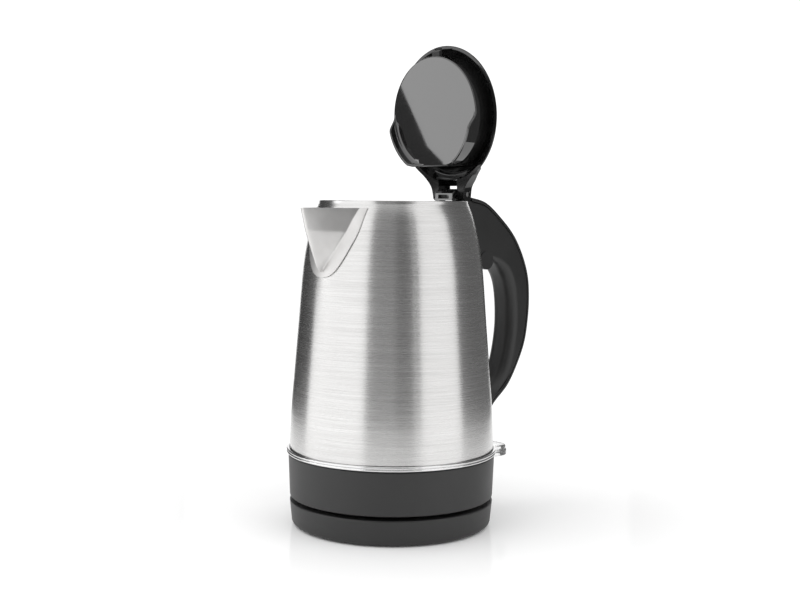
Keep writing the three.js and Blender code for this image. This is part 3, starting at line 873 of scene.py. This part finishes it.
def makeScrews(p):
    screw = turnedSolid("screw", [(r, z + p["z"]) for r, z in screwOutline], 32)
    ends = (p["z"] - 1, p["z"] + crossDepth)
    across = block("slotA", -crossHalf, crossHalf, -crossWidth, crossWidth, *ends)
    along = block("slotB", -crossWidth, crossWidth, -crossHalf, crossHalf, *ends)
    deliver(threeOf("screws", without(screw, across, along), p, p["finish"]), p)


for screwSet in screwSets:
    makeScrews(screwSet)
print("ring, housing, power base, feet and screws done")


# Plain turned pieces, drawn as (radius, height, corner radius).
turnedPieces = [
    {
        "name": "tower",
        "finish": "black_satin",
        "body": "power_base",
        "nodes": ["base_connector"],
        "outline": [
            (2.8, 3.3), (26, 3.3), (26, 6.3), (16.6, 6.3, 0.8), (16.6, 33, 1.2), (10.8, 33, 0.5),
            (10.8, 14), (8.2, 14), (8.2, 33, 0.5), (2.8, 33, 0.6),
        ],
    },
    {
        "name": "socket",
        "finish": "inner_plastic",
        "body": "connector",
        "nodes": ["connector_socket"],
        "outline": [
            (17.2, 22, 0.5), (19, 22, 0.5), (19, 30.8), (22, 30.8), (22, 35.4), (10.7, 35.4), (10.7, 33.8),
            (17.2, 33.8),
        ],
    },
]


def makeTurned(p):
    deliver(turned(p["name"] + "Turned", softCorners(p["outline"], 4), p["finish"], 96), p)


for turnedPiece in turnedPieces:
    makeTurned(turnedPiece)

platePiece = {
    "name": "boiling_plate",
    "finish": "steel_brushed",
    "body": "jug",
    "nodes": ["heating_plate"],
    "outline": [
        (0.2, 59), (72.6, 59), *arc((73.0, 60.6), 1.6, -75, 0, 6), (74.6, 64), (73.8, 64),
        *arc((72.6, 61.2), 1.2, 0, -90, 6), (0.2, 60),
    ],
}


def makePlate(p):
    deliver(turnedSolid("boilingPlate", p["outline"]), p)


makePlate(platePiece)

tubePiece = {
    "name": "steam_pipe",
    "finish": "steel_satin",
    "slot": "steel_brushed",
    "body": "jug",
    "nodes": ["steam_tube"],
    "place": placed(58, 0, 0),
    "outline": [(3.0, 60.5), (4.0, 60.5), (4.0, 204, 0.4), (3.0, 204, 0.4)],
}


def makeTube(p):
    deliver(turned("steamPipe", softCorners(p["outline"], 3), p["finish"], 48), p)


makeTube(tubePiece)
print("turned pieces done")


handlePiece = {
    "name": "handle_grip",
    "finish": "black_satin",
    "body": "jug",
    "nodes": ["handle_shell"],
    "half": 12.0,
    "edge": 1.6,
    "gripEdge": 8.5,
    "smallEdge": 0.4,
    "padRadius": 7.4,
    "padAt": (89.5, 195.5),
    "screwHeights": (222, 70),
    "screwRadius": 1.9,
    "pocketRadius": 4.2,
}
handleOuter = [
    (74, 245.5), (90.9, 241.4), (108.5, 229.1), (123.3, 215.3), (134.1, 198.6), (140.7, 181), (142.3, 163),
    (141.0, 145.6), (137.0, 126.9), (128.2, 109), (116.8, 93.0), (101.0, 80), (94.8, 70.5), (93.6, 60),
]
handleInner = [
    (79, 87), (94, 91), (107, 101.5), (114.8, 117), (119.6, 145), (116.6, 175), (105, 191), (88, 199),
]
handleFoot = [(93.4, 56.5), (95.4, 53.4), (98.2, 51.6), (99.3, 49.6), (99, 47.5)]
stripDepth = 3.0


def makeHandle(p):
    outer = through(handleOuter, 8)
    core = beside(outer, -stripDepth - gap)
    foot = through(handleFoot, 4)
    fingers = through(handleInner, 9)
    inside = [(60, 200), (60, 238), (59, 242.7), (71, 242.7)]
    lowWall = [(80.4, 47.5), (80.4, 57.9), (74, 58.1), (70, 84)]
    outline = [*core, *foot, *lowWall, *fingers, *inside]
    count = len(fingers)
    shares = [min(1, 0.2 + 4 * k / count, 0.2 + 4 * (count - 1 - k) / count) for k in range(count)]
    small = p["smallEdge"]
    radii = [p["edge"]] * (len(core) + len(foot)) + [small] * len(lowWall)
    radii += [p["gripEdge"] * share for share in shares] + [small] * len(inside)
    half = p["half"]
    made = softPrism("handle", outline, "xz", -half, half, radii, radii, 8)
    hollow = jugSolid(gap, 57.0, 242.65)
    ring = rod("ringRoom", 79.6, "xy", 40, 57.9, sides=144)
    pads = rod("pad", p["padRadius"], "xz", -half - 0.5, half + 0.5, p["padAt"])
    made = without(together(made, pads), hollow, ring)
    for z in p["screwHeights"]:
        bore = rod("bore", p["screwRadius"], "yz", 60, 90, (0, z), 24)
        pocket = rod("pocket", p["pocketRadius"], "yz", 86, 150, (0, z), 32)
        made = without(made, bore, pocket)
    deliver(made, p)


makeHandle(handlePiece)

stripPiece = {
    "name": "handle_strip",
    "finish": "black_satin",
    "body": "jug",
    "nodes": ["handle_back"],
    "half": 11.7,
    "edge": 2.4,
    "seamEdge": 0.4,
}


def makeStrip(p):
    outer = through(handleOuter, 8)
    seam = beside(outer, -stripDepth)
    radii = [p["edge"]] * len(outer) + [p["seamEdge"]] * len(seam)
    outline, half = [*outer, *seam[::-1]], p["half"]
    deliver(softPrism("handleStrip", outline, "xz", -half, half, radii, radii, 6), p)


makeStrip(stripPiece)
print("handle done")


# Each layer of the lever is (back X, tip X, low Z, top Z).
leverPiece = {
    "name": "lever_paddle",
    "finish": "clear_lever",
    "body": "lever",
    "nodes": ["switch_lever"],
    "layers": [(63.0, 119.0, 37.2, 42.5), (81.0, 118.0, 42.2, 45.8)],
    "half": 13.0,
    "corner": 9.0,
    "edge": 1.3,
    "pinRadius": 1.8,
    "pinAt": (68, 40),
}


def makeLever(p):
    half, corner = p["half"], p["corner"]
    layers = []
    for backX, tipX, lowZ, topZ in p["layers"]:
        corners = [(backX, -half, 1), (tipX, -half, corner), (tipX, half, corner), (backX, half, 1)]
        rounded = softCorners(corners, 14)
        layers.append(softPrism("lever", rounded, "xy", lowZ, topZ, p["edge"], p["edge"]))
    bore = rod("leverBore", p["pinRadius"], "xz", -30, 30, p["pinAt"], 32)
    deliver(without(together(*layers), bore), p)


makeLever(leverPiece)


hingeX, hingeZ = 62.5, 248.0
pinBoreRadius = 2.3
bracketPiece = {
    "name": "hinge_block",
    "finish": "black_gloss",
    "slot": "black_satin",
    "body": "jug",
    "nodes": ["hinge_bracket"],
    "half": 9.8,
    "topZ": 252.0,
}


def makeBracket(p):
    round_ = arc((hingeX, hingeZ), 3.9, 0, 90, 8)
    outline = [(52.5, 243), (67, 243), *round_, (57, p["topZ"]), (53, p["topZ"] - 3.4)]
    made = softPrism("bracket", outline, "xz", -p["half"], p["half"], 0.5, 0.5, 3)
    window = block("window", 50, 54.6, -6, 6, 244.4, 247.6)
    bore = rod("pinBore", pinBoreRadius, "xz", -30, 30, (hingeX, hingeZ), 32)
    room = block("springRoom", 57.4, 80, -4.2, 4.2, 243.8, 260)
    deliver(without(made, window, bore, room), p)


makeBracket(bracketPiece)

# The lid is drawn upright in its own frame: the hinge axis is its Y and +X is its top side.
lidLean = math.radians(3.2)
lidPlace = placed(hingeX, 0, hingeZ) @ Matrix.Rotation(-lidLean, 4, "Y")
lidMiddle = 62.0

coilPieces = [
    {
        "name": "lid_coil",
        "finish": "steel_polished",
        "even": False,
        "body": "jug",
        "nodes": ["lid_spring"],
        "coil": {"Radius": 2.9 * mm, "Wire": 0.4 * mm, "Turns": 4.0, "Length": 7 * mm},
        "place": placed(hingeX, 3.5, hingeZ) @ Matrix.Rotation(math.pi / 2, 4, "X"),
    },
    {
        "name": "latch_coil",
        "finish": "steel_polished",
        "even": False,
        "body": "latch",
        "nodes": ["latch_spring"],
        "coil": {"Radius": 1.8 * mm, "Wire": 0.3 * mm, "Turns": 4.0, "Length": 9.2 * mm},
        "place": lidPlace @ placed(-12, 0, 80),
    },
]


def makeCoil(p):
    deliver(byNodes(p["name"], "coil", p["finish"], p["coil"]), p)


for coilPiece in coilPieces:
    makeCoil(coilPiece)
print("hinge and springs done")


lidPiece = {
    "name": "lid_cover",
    "finish": "black_cover",
    "slot": "black_gloss",
    "body": "lid",
    "nodes": ["lid_shell"],
    "place": lidPlace,
    "radius": 54.5,
    "rimX": -5.0,
    "dome": [(54.5, -4), (49.7, 0), (44.5, 3), (36.5, 5.8), (26.5, 7.2), (10, 7.5)],
    "recess": [(51.4, -4.4), (47.2, -0.6), (42.5, 1.2), (35.5, 3.6), (26, 5.1)],
    "neck": [(17, -5.5), (17.5, 0), (19.5, 6.5), (26, 13.5), (34.5, 20)],
    "neckTop": [(-12, -10), (5.4, -10), (5.4, 7), (-2, 20), (-5, 22), (-12, 22)],
    "edge": 3.0,
    "knuckle": 5.7,
    "ribRadii": (50.0, 50.8),
    "earHalf": 10.2,
    "hingeRoom": [(-20, -20), (4.4, -20), (4.4, 6.6), (1.4, 10.4), (-1, 11.6), (-20, 11.6)],
    "buttonU": 96,
    "buttonHole": 7.4,
}


# Turns an outline of (radius, X) about the line through the lid's middle.
def acrossLid(name, outline):
    lying = Matrix(((0, 0, 1, 0), (1, 0, 0, 0), (0, 1, 0, lidMiddle * mm), (0, 0, 0, 1)))
    return turnedSolid(name, outline, place=lying)


def lidOutline(p, radius):
    neck = through(p["neck"], 6)
    endY, endU = p["neck"][-1]
    join = math.degrees(math.atan2(endU - lidMiddle, endY))
    round_ = arc((0, lidMiddle), radius, join, 180 - join, 120)[1:-1]
    return [*neck, *round_, *[(-y, u) for y, u in neck[::-1]]]


def makeLid(p):
    rim, radius = p["rimX"], p["radius"]
    dome = through(p["dome"], 6)
    lowEdge = [(0.3, rim), (radius - 0.4, rim), (radius, rim + 0.4)]
    made = acrossLid("lidDome", [*lowEdge, *dome, (0.3, 7.5)])
    flat = softPrism("lidFlat", lidOutline(p, radius + 1.5), "yz", -9, 12)
    made = joinCut(made, "INTERSECT", [flat])
    neck = softPrism("lidNeck", lidOutline(p, radius - 0.6), "yz", rim + 0.1, 5.2, 0.4, p["edge"], 8)
    zone = softPrism("neckZone", p["neckTop"], "xz", -40.3, 40.3)
    made = together(made, joinCut(neck, "INTERSECT", [zone]))
    recess = through(p["recess"], 5)
    far = p["recess"][0][0]
    room = acrossLid("recess", [(far + 0.7, -19), (far + 0.7, -4.75), *recess, (0.3, 5.13)])
    below = block("below", -30, 30, -40, 40, -30, 0.01)
    below = without(below, rod("knuckle", p["knuckle"], "xz", -50, 50, (0, 0), 64))
    pocket = acrossLid("pocket", [(far - 0.1, -18), (far - 0.1, -1.2), (far - 0.7, -0.6)])
    pocket = joinCut(pocket, "INTERSECT", [block("pocketZone", -30, 30, -18, 18, 0.5, 22)])
    ears = softPrism("ears", p["hingeRoom"], "xz", -p["earHalf"], p["earHalf"])
    for cutter in (room, below, pocket, ears):
        made = without(made, cutter)
    ribInner, ribOuter = p["ribRadii"]
    rib = acrossLid("rib", [(ribOuter, -4.3), (ribOuter, 0.1)])
    rib = without(rib, acrossLid("ribInside", [(ribInner, -6), (ribInner, 2)]))
    rib = joinCut(rib, "INTERSECT", [block("ribZone", -30, 30, -13, 13, 0.5, 30)])
    made = together(made, rib)
    slot = block("through", -21, 21, -7.5, 7.5, 3.9, 6.2)
    bore = rod("lidBore", pinBoreRadius, "xz", -41, 41, (0, 0), 32)
    button = rod("buttonHole", p["buttonHole"], "yz", -4, 31, (0, p["buttonU"]), 64)
    deliver(without(made, slot, bore, button), p)


makeLid(lidPiece)

plugPiece = {
    "name": "lid_underside",
    "finish": "black_gloss",
    "body": "lid",
    "nodes": ["lid_plug"],
    "place": lidPlace,
    "radius": 46.0,
    "chord": 39.5,
    "faceX": -18.0,
    "topX": -0.5,
    "wall": 2.0,
    "lip": 7.0,
    "lipRun": 13.0,
    "lipGap": (17.0, 5.0),
    "cornerAngle": 2.5,
    "cornerCut": 3.0,
}


# Runs from 0 to 1 with a level start and end.
def eased(share):
    t = max(0.0, min(1.0, share))
    return t * t * (3 - 2 * t)


def makePlug(p):
    half = math.sqrt(p["radius"] ** 2 - p["chord"] ** 2)
    start = math.degrees(math.atan2(-p["chord"], half)) + p["cornerAngle"]
    round_ = arc((0, lidMiddle), p["radius"], start, 180 - start, 150)
    flatHalf = half - p["cornerCut"]
    flat = [(-flatHalf + 2 * flatHalf * k / 16, lidMiddle - p["chord"]) for k in range(17)]
    outline = round_ + flat
    inward = inwardSteps(outline)
    gapHalf, gapRun = p["lipGap"]
    lips = []
    for y, u in outline:
        onFlat = u < lidMiddle - p["chord"] + 1.5
        share = eased((abs(y) - gapHalf) / gapRun) if onFlat else 1.0
        lips.append(p["lip"] * eased((lidMiddle + 1 - u) / p["lipRun"]) * share)
    face, wall = p["faceX"], p["wall"]

    def profile(lip):
        low, fillet = face - lip, min(3.0, 0.6 * lip)
        turns = [math.radians(90 * k / 5) for k in range(6)]
        walk = [(0, p["topX"])]
        walk += [(0.8 * (1 - math.cos(t)), low + 0.8 * (1 - math.sin(t))) for t in turns]
        walk += [(wall - 0.6 + 0.6 * math.sin(t), low + min(0.6, lip) * (1 - math.cos(t))) for t in turns]
        walk += [(wall + fillet * (1 - math.cos(t)), face - fillet * (1 - math.sin(t))) for t in turns]
        return walk + [(6.0, face)]

    def ring(pick):
        return [(x, y + step.x * d, u + step.y * d) for (y, u), step, (d, x) in zip(outline, inward, pick)]

    walks = [profile(lip) for lip in lips]
    rings = [ring([walk[k] for walk in walks]) for k in range(len(walks[0]))]
    inside = [ring([(wall, x)] * len(outline)) for x in (p["topX"], face + wall)]
    made = fromRings("lidPlug", rings[::-1] + inside)
    seat = block("springSeat", face + 1, -9.4, -4, 4, 74.4, 76.8)
    boltSlot = block("boltSlot", -13.9, -10.1, -4.4, 4.4, 90, 130)
    deliver(without(together(made, seat), boltSlot), p)


makePlug(plugPiece)

buttonPiece = {
    "name": "button_cap",
    "finish": "black_satin",
    "body": "button",
    "nodes": ["release_button"],
    "place": lidPlace,
    "radius": 7.0,
    "lowX": 3.0,
    "topX": 9.0,
    "u": 96,
    "stemHalf": 3,
}


def makeButton(p):
    ring = arc((0, p["u"]), p["radius"], 0, 354, 59)
    made = softPrism("button", ring, "yz", p["lowX"], p["topX"], 0.3, 1.2)
    half = p["stemHalf"]
    stem = block("stem", -7, 3.5, -half, half, p["u"] - half, p["u"] + half)
    deliver(together(made, stem), p)


makeButton(buttonPiece)
print("lid done")


# Pieces kept as the design has them.
kept = {
    "power_base_plate": "housing_grey",
    "base_ring_contact": "brass_contact",
    "base_pin_contact": "brass_contact",
    "cord_gland": "black_satin",
    "connector_ring": "brass_contact",
    "connector_pin": "brass_contact",
    "housing_plate": "black_satin",
    "heat_spreader": "aluminium_disc",
    "heating_element": "zinc_steel",
    "control_unit": "inner_plastic",
    "bimetal_disc": "brass_contact",
    "steam_switch": "inner_plastic",
    "indicator_lamp": "lamp_glass",
    "lever_pin": "zinc_steel",
    "handle_screw_upper": "zinc_steel",
    "handle_screw_lower": "zinc_steel",
    "hinge_pin": "steel_polished",
    "latch_bolt": "black_satin",
}
for nodeName, finishName in kept.items():
    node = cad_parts[nodeName]
    paint(node, finishName)
    smoothed(node, keptAngle)
print("kept pieces painted", len(kept))


def stagePlane(name, corners, finish):
    shape = bmesh.new()
    shape.faces.new([shape.verts.new(c) for c in corners])
    made = meshObject(name, shape)
    made.data.materials.append(finish)
    return made


def floorFinish():
    m = Finish("floorFinish")
    cloud = m.noise(3.0, 2.0)
    # Painted light and shade: the floor's colour darkens near the kettle as painted shade and brightens
    # with distance as painted light; the cloud is a random tone.
    away = m.wire("ShaderNodeVectorMath", {"operation": "LENGTH"}, {0: m.place}, "Value")
    near = m.mixed(grey(0.78), grey(0.80), cloud)
    colour = m.mixed(near, grey(0.92), away.above(0.36, 0.42))
    shine = 0.40 * (1.0 - away.above(0.20, 0.16))
    constants = {"Specular IOR Level": 0.0, "Coat Roughness": 0.12}
    return m.surface(constants, colour, coat=shine)


def cardFinish(name, radiance):
    m = Finish(name)
    glow = m.node("ShaderNodeEmission", None, {"Color": grey(1.0), "Strength": radiance})
    output = m.node("ShaderNodeOutputMaterial")
    m.tree.links.new(glow.outputs[0], output.inputs["Surface"])
    return m.material


floorSize = 6.0
floorCorners = [(x * floorSize, y * floorSize, 0) for x, y in ((-1, -1), (1, -1), (1, 1), (-1, 1))]
stagePlane("floor", floorCorners, floorFinish())

cameraTurn = 42.0  # the camera's azimuth, from -Y towards -X


# A point at an angle round the kettle, measured from the camera's side; minus is the camera's left.
def roundTable(angle, distance, z):
    turn = math.radians(-90 - cameraTurn + angle)
    return Vector((distance * math.cos(turn), distance * math.sin(turn), z))


# Upright grey or black cards, seen only in reflections.
cards = [
    {"name": "cardFront", "from": -26.5, "to": 4, "distance": 0.62, "top": 0.9, "radiance": 0.30},
    {"name": "cardFrontDark", "from": 4, "to": 24.5, "distance": 0.62, "top": 0.9, "radiance": 0.16},
    {"name": "cardRight", "from": 80, "to": 152, "distance": 0.60, "top": 1.0, "radiance": 0.15},
    {"name": "cardLeft", "from": -156, "to": -104.5, "distance": 0.60, "top": 1.0, "radiance": 0.07},
    {"name": "backLeft", "from": -112.5, "to": -27.5, "distance": 0.99, "top": 1.1, "radiance": 0.0},
    {"name": "backRight", "from": 27, "to": 89, "distance": 0.97, "top": 1.0, "radiance": 0.0},
]

# A bright panel with a curved edge on a dark one, as (angle, height), for the gloss of the open lid.
panels = [
    {
        "name": "lidPanel",
        "corners": [
            (-99.9, 0.228), (-86, 0.228), (-86, 0.42), (-103.8, 0.42), (-102.6, 0.31), (-101.6, 0.275),
            (-100.2, 0.245),
        ],
        "distance": 0.66,
        "radiance": 2.3,
    },
    {
        "name": "lidShade",
        "corners": [(-110, 0.20), (-86, 0.20), (-86, 0.42), (-110, 0.42)],
        "distance": 0.67,
        "radiance": 0.15,
    },
]


def unseenByRoom(made):
    made.visible_camera = False
    made.visible_shadow = False
    made.visible_diffuse = False
    return made


def makeCard(p):
    left = roundTable(p["from"], p["distance"], 0.0)
    right = roundTable(p["to"], p["distance"], 0.0)
    up = Vector((0, 0, p["top"]))
    made = stagePlane(p["name"], [left, right, right + up, left + up], cardFinish(p["name"], p["radiance"]))
    return unseenByRoom(made)


def makePanel(p):
    corners = [roundTable(angle, p["distance"], z) for angle, z in p["corners"]]
    return unseenByRoom(stagePlane(p["name"], corners, cardFinish(p["name"], p["radiance"])))


for card in cards:
    makeCard(card)
for panel in panels:
    makePanel(panel)

lights = [
    {"name": "softboxLeft", "angle": -70, "distance": 0.72, "z": 0.55, "size": (1.24, 1.1), "power": 5.8},
    {"name": "softboxRight", "angle": 58, "distance": 0.80, "z": 0.50, "size": (0.80, 1.0), "power": 3.0},
]


def makeLight(p):
    data = bpy.data.lights.new(p["name"], "AREA")
    data.shape = "RECTANGLE"
    data.size, data.size_y = p["size"]
    data.energy = p["power"]
    made = added(p["name"], data)
    made.location = roundTable(p["angle"], p["distance"], p["z"])
    away = Vector((made.location.x, made.location.y, 0))
    made.rotation_euler = away.to_track_quat("Z", "Y").to_euler()
    made.visible_camera = False
    return made


for light in lights:
    makeLight(light)

world = bpy.data.worlds.new("studio")
bpy.context.scene.world = world
world.use_nodes = True
background = world.node_tree.nodes["Background"]
background.inputs["Color"].default_value = (1, 1, 1, 1)
background.inputs["Strength"].default_value = 1.15
bpy.context.scene.view_settings.view_transform = "Standard"
print("studio set")

cameraDistance = 0.946
cameraHeight = 0.2426
cameraRoll = 0.5
cameraData = bpy.data.cameras.new("camera")
cameraData.lens = 56.25
cameraData.shift_x = 0.0081
cameraData.shift_y = -0.1244
camera = added("camera", cameraData)
camera.location = roundTable(0, cameraDistance, cameraHeight)
ahead = Vector((-camera.location.x, -camera.location.y, 0))
looking = ahead.to_track_quat("-Z", "Y").to_matrix().to_4x4()
camera.rotation_euler = (looking @ Matrix.Rotation(math.radians(cameraRoll), 4, "Z")).to_euler()
bpy.context.scene.camera = camera
